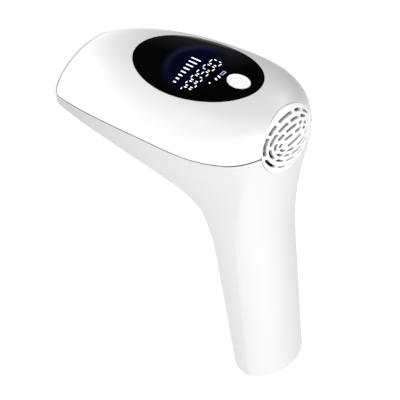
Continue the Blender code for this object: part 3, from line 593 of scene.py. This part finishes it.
def slanted_bar(x0, x1, y, width, lean):
    """Outline of a bar from x0 to x1 that stands at y at x1 and leans towards +Y at x0."""
    half = width / 2
    return [(x0, y - half - lean * (x0 - x1)), (x0, y + half - lean * (x0 - x1)), (x1, y + half),
            (x1, y - half)]


def make_figures():
    bars = []
    for k in range(BARS):
        top = BAR_TOP - BAR_STEP * k - BAR_BOW * k * k
        foot = BAR_FOOT - BAR_RISE * (BARS - 1 - k)
        y = BAR_FIRST_Y + BAR_PITCH * k + BAR_SPREAD * k * k
        bars.append(slanted_bar(top, foot, y, BAR_WIDTH, LEAN))
    dress(plate("display_bars", bars), "root", "lcd_module", figures)
    digits = []
    for k, figure in enumerate(DIGITS):
        y = DIGIT_FIRST_Y + DIGIT_PITCH * k + DIGIT_SPREAD * k * k
        digits += segment_outlines(figure, DIGIT_X, y, DIGIT_BROAD + DIGIT_GROWTH * k)
    dress(plate("display_digits", digits), "root", "lcd_module", figures)
    marks = [[(DOT_X + DOT_RADIUS * math.cos(a), DOT_Y + DOT_RADIUS * math.sin(a))
              for a in around(16)]]
    marks += [slanted_bar(x - long / 2, x + long / 2, y, DASH_WIDTH, DASH_LEAN)
              for x, y, long in DASHES]
    dress(plate("display_marks", marks), "root", "lcd_module", figures)
    x, y, half_x, half_y, line = ICON
    sides = [slanted_bar(x - half_x, x + half_x, y + sign * (half_y - line / 2), line, 0)
             for sign in (-1, 1)]
    sides += [slanted_bar(x + sign * half_x - sign * line, x + sign * half_x, y,
                          2 * half_y - 2 * line, 0) for sign in (-1, 1)]
    dress(plate("display_icon", sides), "root", "lcd_module", signs)


def rounded_block(name, low, high, radius):
    low, high = Vector(low), Vector(high)
    bm = bmesh.new()
    bmesh.ops.create_cube(bm, size=1.0)
    bmesh.ops.scale(bm, vec=high - low, verts=bm.verts)
    bmesh.ops.translate(bm, vec=(low + high) / 2, verts=bm.verts)
    bmesh.ops.bevel(bm, geom=list(bm.edges), offset=radius, segments=3, profile=0.5,
                    affect="EDGES")
    bmesh.ops.scale(bm, vec=(MM, MM, MM), verts=bm.verts)
    mesh = bpy.data.meshes.new(name)
    bm.to_mesh(mesh)
    bm.free()
    mesh.shade_smooth()
    mesh.set_sharp_from_angle(angle=math.radians(50))
    thing = bpy.data.objects.new(name, mesh)
    bpy.context.scene.collection.objects.link(thing)
    return thing


# ================================================================ materials
GRAIN_DEPTH = 0.00005        # metres
CREVICE_REACH = 0.0025       # metres: gaps and slots up to this wide get painted shade


def shader_of(name):
    material = bpy.data.materials.new(name)
    material.use_nodes = True
    tree = material.node_tree
    return material, tree, tree.nodes["Principled BSDF"]


def noise(tree, scale):
    coordinates = tree.nodes.new("ShaderNodeTexCoord")
    texture = tree.nodes.new("ShaderNodeTexNoise")
    texture.inputs["Scale"].default_value = scale
    texture.inputs["Detail"].default_value = 2.0
    texture.inputs["Roughness"].default_value = 0.5
    tree.links.new(coordinates.outputs["Object"], texture.inputs["Vector"])
    return texture.outputs["Fac"]


def spread(tree, source, low, high, start=0.3, end=0.7):
    """Values from low to high as the source goes from start to end."""
    ranged = tree.nodes.new("ShaderNodeMapRange")
    ranged.inputs["From Min"].default_value = start
    ranged.inputs["From Max"].default_value = end
    ranged.inputs["To Min"].default_value = low
    ranged.inputs["To Max"].default_value = high
    tree.links.new(source, ranged.inputs["Value"])
    return ranged.outputs["Result"]


def blend_colour(tree, factor, first, second):
    """Mix of two colours, each a plain value or another node's socket."""
    mix = tree.nodes.new("ShaderNodeMix")
    mix.data_type = "RGBA"
    tree.links.new(factor, mix.inputs["Factor"])
    for socket, value in ((mix.inputs[6], first), (mix.inputs[7], second)):
        if hasattr(value, "links"):
            tree.links.new(value, socket)
        else:
            socket.default_value = (*value, 1.0)
    return mix.outputs[2]


def roughen(tree, shader, scale, strength):
    bump = tree.nodes.new("ShaderNodeBump")
    bump.inputs["Strength"].default_value = strength
    bump.inputs["Distance"].default_value = GRAIN_DEPTH
    tree.links.new(noise(tree, scale), bump.inputs["Height"])
    tree.links.new(bump.outputs["Normal"], shader.inputs["Normal"])


def moulded(name, colour, rough, shift=0.97, grain=900.0, bump=0.05, coat=0.0, metallic=0.0,
            spotted=0.04, blotch=30.0):
    """Moulded or machined surface: faint colour drift, uneven gloss and fine grain.

    shift is the darkest share of the colour and spotted how far the roughness strays, both
    at the scale of blotch. grain and bump are the scale and strength of the relief.
    """
    material, tree, shader = shader_of(name)
    duller = tuple(c * shift for c in colour)
    drift = spread(tree, noise(tree, blotch), 0.0, 1.0, 0.2, 0.8)
    tree.links.new(blend_colour(tree, drift, colour, duller), shader.inputs["Base Color"])
    gloss = spread(tree, noise(tree, blotch * 6), rough - spotted, rough + spotted)
    tree.links.new(gloss, shader.inputs["Roughness"])
    if bump:
        roughen(tree, shader, grain, bump)
    shader.inputs["Metallic"].default_value = metallic
    shader.inputs["Coat Weight"].default_value = coat
    shader.inputs["Coat Roughness"].default_value = 0.08
    return material


def white_plastic(name, tone, painted_light_and_shade, crevice_shade_tone=0.08):
    """Smooth white plastic with painted shade that darkens its gaps and slots to the shade tone.

    Each drift of painted light or shade is an axis, where along it the change starts and ends in
    metres, and the new tone.
    """
    colour = (tone, tone, tone * 1.003)
    material = moulded(name, colour, 0.42, bump=0.0, shift=0.99, spotted=0.01, blotch=14.0)
    tree = material.node_tree
    shader = tree.nodes["Principled BSDF"]
    coordinates = tree.nodes.new("ShaderNodeTexCoord")
    split = tree.nodes.new("ShaderNodeSeparateXYZ")
    tree.links.new(coordinates.outputs["Object"], split.inputs["Vector"])
    shaded_colour = shader.inputs["Base Color"].links[0].from_socket
    # painted light and shade: tones that change along an axis, standing in for how the light falls
    for axis, start, end, painted_tone in painted_light_and_shade:
        amount = spread(tree, split.outputs[axis], 0.0, 1.0, start, end)
        shaded_colour = blend_colour(tree, amount, shaded_colour, (painted_tone,) * 3)
    # painted shade: an occlusion mask darkens the colour in gaps, slots and tight corners towards
    # the shade tone
    crevice = tree.nodes.new("ShaderNodeAmbientOcclusion")
    crevice.samples = 8
    crevice.inputs["Distance"].default_value = CREVICE_REACH
    crevice_shade = spread(tree, crevice.outputs["AO"], 1.0, 0.0, 0.25, 0.55)
    tree.links.new(blend_colour(tree, crevice_shade, shaded_colour, (crevice_shade_tone,) * 3),
                   shader.inputs["Base Color"])
    shader.inputs["Specular IOR Level"].default_value = 0.4
    return material


def glass(name, colour):
    """Clear glass with a faintly uneven tint and gloss."""
    material, tree, shader = shader_of(name)
    tint = blend_colour(tree, spread(tree, noise(tree, 60.0), 0.0, 1.0), colour,
                        tuple(c * 0.93 for c in colour))
    tree.links.new(tint, shader.inputs["Base Color"])
    tree.links.new(spread(tree, noise(tree, 200.0), 0.021, 0.039), shader.inputs["Roughness"])
    shader.inputs["Transmission Weight"].default_value = 0.9
    shader.inputs["IOR"].default_value = 1.46
    return material


def circuit_board(name):
    """Green lacquer with lighter copper tracks beneath it."""
    material, tree, shader = shader_of(name)
    coordinates = tree.nodes.new("ShaderNodeTexCoord")
    brick = tree.nodes.new("ShaderNodeTexBrick")
    brick.inputs["Scale"].default_value = 260.0
    brick.inputs["Mortar Size"].default_value = 0.06
    brick.inputs["Color1"].default_value = (0.012, 0.120, 0.045, 1)
    brick.inputs["Color2"].default_value = (0.016, 0.150, 0.055, 1)
    brick.inputs["Mortar"].default_value = (0.050, 0.260, 0.110, 1)
    tree.links.new(coordinates.outputs["Object"], brick.inputs["Vector"])
    tree.links.new(brick.outputs["Color"], shader.inputs["Base Color"])
    tree.links.new(spread(tree, noise(tree, 300.0), 0.30, 0.45), shader.inputs["Roughness"])
    return material


def lit(name, colour, strength):
    """Lit figure of the display, slightly uneven, under the panel's gloss."""
    material, tree, shader = shader_of(name)
    dim = tuple(c * 0.9 for c in colour)
    glow = blend_colour(tree, spread(tree, noise(tree, 350.0), 0.0, 1.0), colour, dim)
    tree.links.new(glow, shader.inputs["Emission Color"])
    tree.links.new(glow, shader.inputs["Base Color"])
    shader.inputs["Emission Strength"].default_value = strength
    shader.inputs["Roughness"].default_value = 0.25
    return material


def panel_gloss(name):
    """Black gloss with the dark blue display glass glowing through it, and a painted grey
    reflection glowing on the panel's far side.

    The glass is an oval at LCD_SPOT. Lengths and ramps below are fractions of its halves.
    """
    material, tree, shader = shader_of(name)
    coordinates = tree.nodes.new("ShaderNodeTexCoord")
    place = tree.nodes.new("ShaderNodeMapping")
    place.inputs["Location"].default_value = (-LCD_SPOT[0] / LCD_HALF[0],
                                              -LCD_SPOT[1] / LCD_HALF[1], 0)
    place.inputs["Scale"].default_value = (1 / (LCD_HALF[0] * MM), 1 / (LCD_HALF[1] * MM), 0)
    tree.links.new(coordinates.outputs["Object"], place.inputs["Vector"])
    length = tree.nodes.new("ShaderNodeVectorMath")
    length.operation = "LENGTH"
    tree.links.new(place.outputs["Vector"], length.inputs[0])
    split = tree.nodes.new("ShaderNodeSeparateXYZ")
    tree.links.new(place.outputs["Vector"], split.inputs["Vector"])

    def product(a, b):
        times = tree.nodes.new("ShaderNodeMath")
        times.operation = "MULTIPLY"
        tree.links.new(a, times.inputs[0])
        tree.links.new(b, times.inputs[1])
        return times.outputs["Value"]

    rearward = spread(tree, split.outputs["X"], 1.0, 0.0, 0.1, 0.9)
    within = product(spread(tree, length.outputs["Value"], 1.0, 0.0, 0.84, 1.04), rearward)
    band = spread(tree, length.outputs["Value"], 0.0, 1.0, 0.66, 0.86)
    band = product(band, spread(tree, split.outputs["X"], 1.0, 0.0, -0.6, 0.4))
    band = product(band, spread(tree, split.outputs["Y"], 0.25, 1.0, -0.6, 0.4))
    blue = blend_colour(tree, band, LCD_DARK, LCD_RIM)
    # painted reflection: a faint grey glow on the far side (+Y), fading out towards the rear end
    painted_reflection = product(spread(tree, split.outputs["Y"], 0.0, 1.0, 0.1, 0.9),
                    spread(tree, split.outputs["X"], 1.0, 0.0, 0.3, 1.3))
    black = blend_colour(tree, painted_reflection, (0.0004, 0.0004, 0.0004), FAR_PAINTED_REFLECTION)
    glow = blend_colour(tree, within, black, blue)
    tree.links.new(glow, shader.inputs["Emission Color"])
    shader.inputs["Emission Strength"].default_value = 1.0
    shade = spread(tree, noise(tree, 90.0), 0.0, 1.0)
    tree.links.new(blend_colour(tree, shade, (0.0005, 0.0005, 0.0006), (0.001, 0.001, 0.0011)),
                   shader.inputs["Base Color"])
    tree.links.new(spread(tree, noise(tree, 120.0), 0.03, 0.07), shader.inputs["Roughness"])
    shader.inputs["Specular IOR Level"].default_value = 0.25
    return material


LCD_SPOT, LCD_HALF = (-29.5, -1.5), (18.0, 18.5)     # middle and half sides, in mm
# grey of the painted reflection on the panel's far side
FAR_PAINTED_REFLECTION = (0.010, 0.010, 0.012)
LCD_DARK, LCD_RIM = (0.0006, 0.0008, 0.011), (0.012, 0.014, 0.036)

# The tone changes are painted light and shade: the cover lighter towards the nose and darker on
# its crown, the body darker towards the nose and the bottom with a lighter band at its front end,
# and the grille a little darker towards its top.
white = white_plastic("white_cover_plastic", 0.75,
                      (("X", -0.040, -0.105, 0.94), ("Z", 0.163, 0.180, 0.58)))
body_white = white_plastic("white_body_plastic", 0.61,
                           (("X", -0.035, -0.105, 0.47), ("Z", 0.110, 0.020, 0.57),
                            ("X", -0.1058, -0.1068, 0.74)))
grille_white = white_plastic("white_grille_plastic", 0.84, (("Z", 0.140, 0.180, 0.82),), 0.3)
satin = moulded("white_satin_plastic", (0.72, 0.72, 0.73), 0.42, bump=0.12)
black = moulded("black_plastic", (0.022, 0.022, 0.024), 0.45, bump=0.15, shift=0.8)
steel = moulded("zinc_steel", (0.55, 0.56, 0.58), 0.28, grain=2500, bump=0.1, metallic=1.0)
alloy = moulded("aluminium", (0.66, 0.67, 0.69), 0.34, grain=1800, bump=0.12, metallic=1.0)
mirror = moulded("polished_reflector", (0.90, 0.90, 0.92), 0.07, metallic=1.0, bump=0.01,
                 spotted=0.03)
gold = moulded("gold_contact", (0.86, 0.62, 0.26), 0.22, metallic=1.0, grain=2200, bump=0.05)
copper = moulded("copper_winding", (0.72, 0.33, 0.15), 0.32, metallic=1.0, grain=1500, bump=0.4)
resin = moulded("resin", (0.38, 0.09, 0.05), 0.42, shift=0.85, bump=0.2)
sleeve = moulded("capacitor_sleeve", (0.03, 0.035, 0.12), 0.30, shift=0.8, bump=0.05)
ceramic = moulded("ceramic", (0.80, 0.78, 0.72), 0.5, grain=1500, bump=0.2)
foam = moulded("foam", (0.03, 0.03, 0.03), 0.9, grain=3000, bump=0.8, shift=0.6)
rubber_red = moulded("red_insulation", (0.42, 0.015, 0.015), 0.45, bump=0.1)
rubber_black = moulded("black_insulation", (0.015, 0.015, 0.015), 0.45, bump=0.1)
board = circuit_board("circuit_board")
quartz = glass("quartz", (0.95, 0.97, 1.0))
display_glass = moulded("display_glass", (0.01, 0.012, 0.05), 0.12, bump=0.0)
button_face = moulded("button_face", (0.53, 0.52, 0.60), 0.34, bump=0.05, shift=0.98)
button_rim = moulded("button_rim", (0.86, 0.86, 0.88), 0.25, bump=0.0, shift=0.99, coat=0.3)
figures = lit("lit_figures", (0.93, 0.93, 1.0), 1.0)
signs = lit("lit_signs", (0.50, 0.47, 0.90), 0.5)
panel_black = panel_gloss("panel_gloss")

CARRIED = {
    "display_gasket": foam, "lcd_module": display_glass, "power_switch": black,
    "power_switch_plunger": black, "reflector": mirror, "flash_lamp": quartz,
    "lamp_heatsink": alloy, "trigger_transformer": resin, "film_capacitor": resin,
    "power_transistor": black, "transistor_heatsink": alloy, "choke": copper,
    "boost_transformer": copper, "dc_jack": black, "trigger_switch": black,
    "trigger_switch_plunger": black, "fan_frame": black, "lamp_lead_right": rubber_red,
    "supply_lead": rubber_red,
}


def carried_material(name):
    if name in CARRIED:
        return CARRIED[name]
    if "screw" in name:
        return steel
    if name.endswith("_board"):
        return board
    if name.startswith("lamp_holder"):
        return ceramic
    if name.startswith("flash_capacitor"):
        return sleeve
    if name.endswith("_lead") or "_lead_" in name:
        return rubber_black
    return white


def dress(thing, body, slot, *materials, stands_for=()):
    """Give a new piece its materials and its body, and hide the CAD nodes that it stands for."""
    thing.data.materials.clear()
    for material in materials:
        thing.data.materials.append(material)
    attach(thing, body)
    if stands_for:
        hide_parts(*stands_for)


for node_name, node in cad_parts.items():
    node.data.materials.clear()
    node.data.materials.append(carried_material(node_name))


# ================================================================ casing pieces
# The trigger sits on the casing's front line, at its own height.
front_line = casing_point(np.linspace(6, 8.5, 600), np.full(600, math.pi))
nearest = front_line[np.argmin(np.abs(front_line[:, 2] - TRIGGER_Z))]
TRIGGER_SPOT = np.array((nearest[0], 0.0, TRIGGER_Z))

EDGE = 0.28                  # radius of the moulded edges along the seam
PANEL_THICK, PANEL_SINK = 1.5, 0.1
TRIGGER_DEPTH, GRILLE_THICK, END_CAP_THICK = 2.4, 2.0, 2.4
sweep = np.linspace(0, LAST, 200)    # sections that the shells' rows lie at
body_shell = patch("body_shell", casing, sweep, around(200),
                   ((in_body, EDGE), (off_vent, 0.12), (behind_nose, 0.9), (above_base, 1.3),
                    (off_trigger, 0.35)), WALL)
dress(body_shell, "root", "lower_body", body_white, stands_for=["lower_body"])
cover_shell = patch("cover_shell", casing, sweep[sweep < COVER_LAST], around(200),
                    ((in_cover, EDGE), (off_vent, 0.12), (off_display, 0.2)), WALL)
dress(cover_shell, "root", "top_cover", white, stands_for=["top_cover"])
panel = patch("display_window", casing, np.linspace(1.2, 4.6, 120), around(240),
              ((in_panel, 0.1), (off_button, 0.15)), PANEL_THICK, lift=-PANEL_SINK)
dress(panel, "root", "display_panel", panel_black, stands_for=["display_panel"])
trigger_cap = patch("trigger_cap", casing, np.linspace(5.2, 8.4, 150), around(320),
                    ((in_trigger, 0.8),), TRIGGER_DEPTH, lift=TRIGGER_PROUD, turns=6)
dress(trigger_cap, "flash_trigger", "flash_trigger", white, stands_for=["flash_trigger"])

# ================================================================ vent grille
grille = patch("grille_face", dome, np.linspace(0.02, VENT_RADIUS, 110), around(400),
               ((slots, 0.3), (in_rim, 0.2)), GRILLE_THICK, sink=(-1, 0, 0), turns=3)
dress(grille, "root", "vent_grille", grille_white, stands_for=["vent_grille"])
skirt = turned("grille_skirt", Vector((VENT_X, 0, VENT_Z)),
               [(-GRILLE_SKIRT, VENT_RADIUS - GRILLE_LAND), (-GRILLE_SKIRT, VENT_RADIUS),
                (-GRILLE_STEP, VENT_RADIUS), (-GRILLE_STEP, VENT_RADIUS - GRILLE_LAND)], 160)
dress(skirt, "root", "vent_grille", grille_white)

# ================================================================ nose and base
window_frame = patch("window_surround", nose_plane, np.linspace(3, 30, 90), around(320),
                     ((in_nose, 0.3), (off_window, 0.9), (off_sensors, 0.25),
                      (off_window_screws, 0.1)), WINDOW_FRAME_BACK - WINDOW_FRAME_FRONT)
dress(window_frame, "root", "window_frame", satin, stands_for=["window_frame"])
end_cap = patch("base_cap", base_plane, np.linspace(0.02, 22, 150), around(300),
                ((in_base, 0.06), (off_jack, 0.6), (off_end_screws, 0.04)), END_CAP_THICK)
dress(end_cap, "root", "handle_end_cap", satin, stands_for=["handle_end_cap"])
for side in ("left", "right"):
    low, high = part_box(f"skin_sensor_{side}")
    sensor = rounded_block(f"skin_pad_{side}", low / MM, high / MM, 0.7)
    dress(sensor, "root", f"skin_sensor_{side}", gold, stands_for=[f"skin_sensor_{side}"])

# ================================================================ button and display figures
button = button_cap()
dress(button, "power_button", "power_button", button_rim, button_face, stands_for=["power_button"])
make_figures()

# ================================================================ camera, floor and light
# RIGHT and UP are the picture's axes. The camera aims a little left of AIM and above it.
AIM = Vector((-27.0, 0.0, 90.0))
AIM_LEFT, AIM_UP = 8.04, 2.01
CAMERA_DISTANCE, CAMERA_LENS = 3731.0, 640.0
RIGHT = Vector((0.754, 0.652, -0.0815)).normalized()
UP = Vector((-0.3624, 0.5161, 0.7762))
UP = (UP - UP.dot(RIGHT) * RIGHT).normalized()
BACK = RIGHT.cross(UP)
target = AIM - AIM_LEFT * RIGHT + AIM_UP * UP
camera_data = bpy.data.cameras.new("camera")
camera_data.lens = CAMERA_LENS
camera_data.sensor_width = 36.0
camera_data.clip_end = 100.0
camera = bpy.data.objects.new("camera", camera_data)
bpy.context.scene.collection.objects.link(camera)
turn = Matrix((RIGHT, UP, BACK)).transposed()
camera.matrix_world = Matrix.Translation((target + CAMERA_DISTANCE * BACK) * MM) @ turn.to_4x4()
bpy.context.scene.camera = camera

# The floor is in metres. Its colour is a painted pool of light: palest round a point, and fading
# to a darker grey from one distance to another.
FLOOR_Z, FLOOR_HALF = -0.25, 12
FLOOR_LIGHT_POOL_MIDDLE, FLOOR_LIGHT_POOL_FADE = (-0.33, 0.30), (0.45, 1.1)
floor_mesh = bpy.data.meshes.new("floor")
corners = ((-1, -1), (1, -1), (1, 1), (-1, 1))
floor_mesh.from_pydata([(x * FLOOR_HALF, y * FLOOR_HALF, FLOOR_Z) for x, y in corners], [],
                       [(0, 1, 2, 3)])
floor = bpy.data.objects.new("floor", floor_mesh)
bpy.context.scene.collection.objects.link(floor)
floor_light_pool_paint, floor_tree, floor_shader = shader_of("floor_light_pool_paint")
spot = floor_tree.nodes.new("ShaderNodeVectorMath")
spot.operation = "DISTANCE"
spot.inputs[1].default_value = (*FLOOR_LIGHT_POOL_MIDDLE, FLOOR_Z)
where = floor_tree.nodes.new("ShaderNodeTexCoord")
floor_tree.links.new(where.outputs["Object"], spot.inputs[0])
# painted pool of light: pale floor near the point, darker grey further out
light_pool_fade = spread(floor_tree, spot.outputs["Value"], 0.0, 1.0, *FLOOR_LIGHT_POOL_FADE)
floor_tree.links.new(blend_colour(floor_tree, light_pool_fade, (0.9, 0.9, 0.9), (0.42, 0.42, 0.43)),
                     floor_shader.inputs["Base Color"])
floor_shader.inputs["Roughness"].default_value = 0.9
floor_shader.inputs["Specular IOR Level"].default_value = 0.0
floor_mesh.materials.append(floor_light_pool_paint)
floor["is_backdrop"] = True

# Each soft light: bearing from +X towards +Y and height in degrees, distance and width in
# metres, and watts. The last one is a small fill beside the handle.
LIGHTS = {
    "right_low": (0, 12, 5.0, 2.4, 71),
    "front_low": (180, 12, 5.0, 2.4, 41),
    "front_near_low": (225, 12, 5.0, 2.4, 69),
    "behind_camera": (318, 12, 5.5, 2.4, 143),
    "far_high": (90, 45, 5.0, 2.4, 141),
    "front_near_high": (225, 45, 5.0, 2.4, 106),
    "near_high": (270, 45, 5.0, 2.4, 40),
    "near_top": (270, 65, 4.5, 2.4, 41),
    "handle_fill": (338, -16, 0.41, 0.3, 0.8),
}
HEART = Vector((-0.03, 0.0, 0.1))        # the point that every light faces
for light_name, (bearing, height, distance, width, watts) in LIGHTS.items():
    light_data = bpy.data.lights.new(light_name, "AREA")
    light_data.shape = "DISK"
    light_data.size = width
    light_data.energy = watts
    light = bpy.data.objects.new(light_name, light_data)
    bpy.context.scene.collection.objects.link(light)
    bearing, height = math.radians(bearing), math.radians(height)
    toward = Vector((math.cos(height) * math.cos(bearing), math.cos(height) * math.sin(bearing),
                     math.sin(height)))
    light.location = HEART + distance * toward
    light.rotation_euler = toward.to_track_quat("Z", "Y").to_euler()

WORLD_STRENGTH = 0.01
world = bpy.data.worlds.new("studio")
world.use_nodes = True
backdrop = world.node_tree.nodes["Background"]
backdrop.inputs["Color"].default_value = (1, 1, 1, 1)
backdrop.inputs["Strength"].default_value = WORLD_STRENGTH
bpy.context.scene.world = world
bpy.context.scene.view_settings.view_transform = "Standard"

low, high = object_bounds()
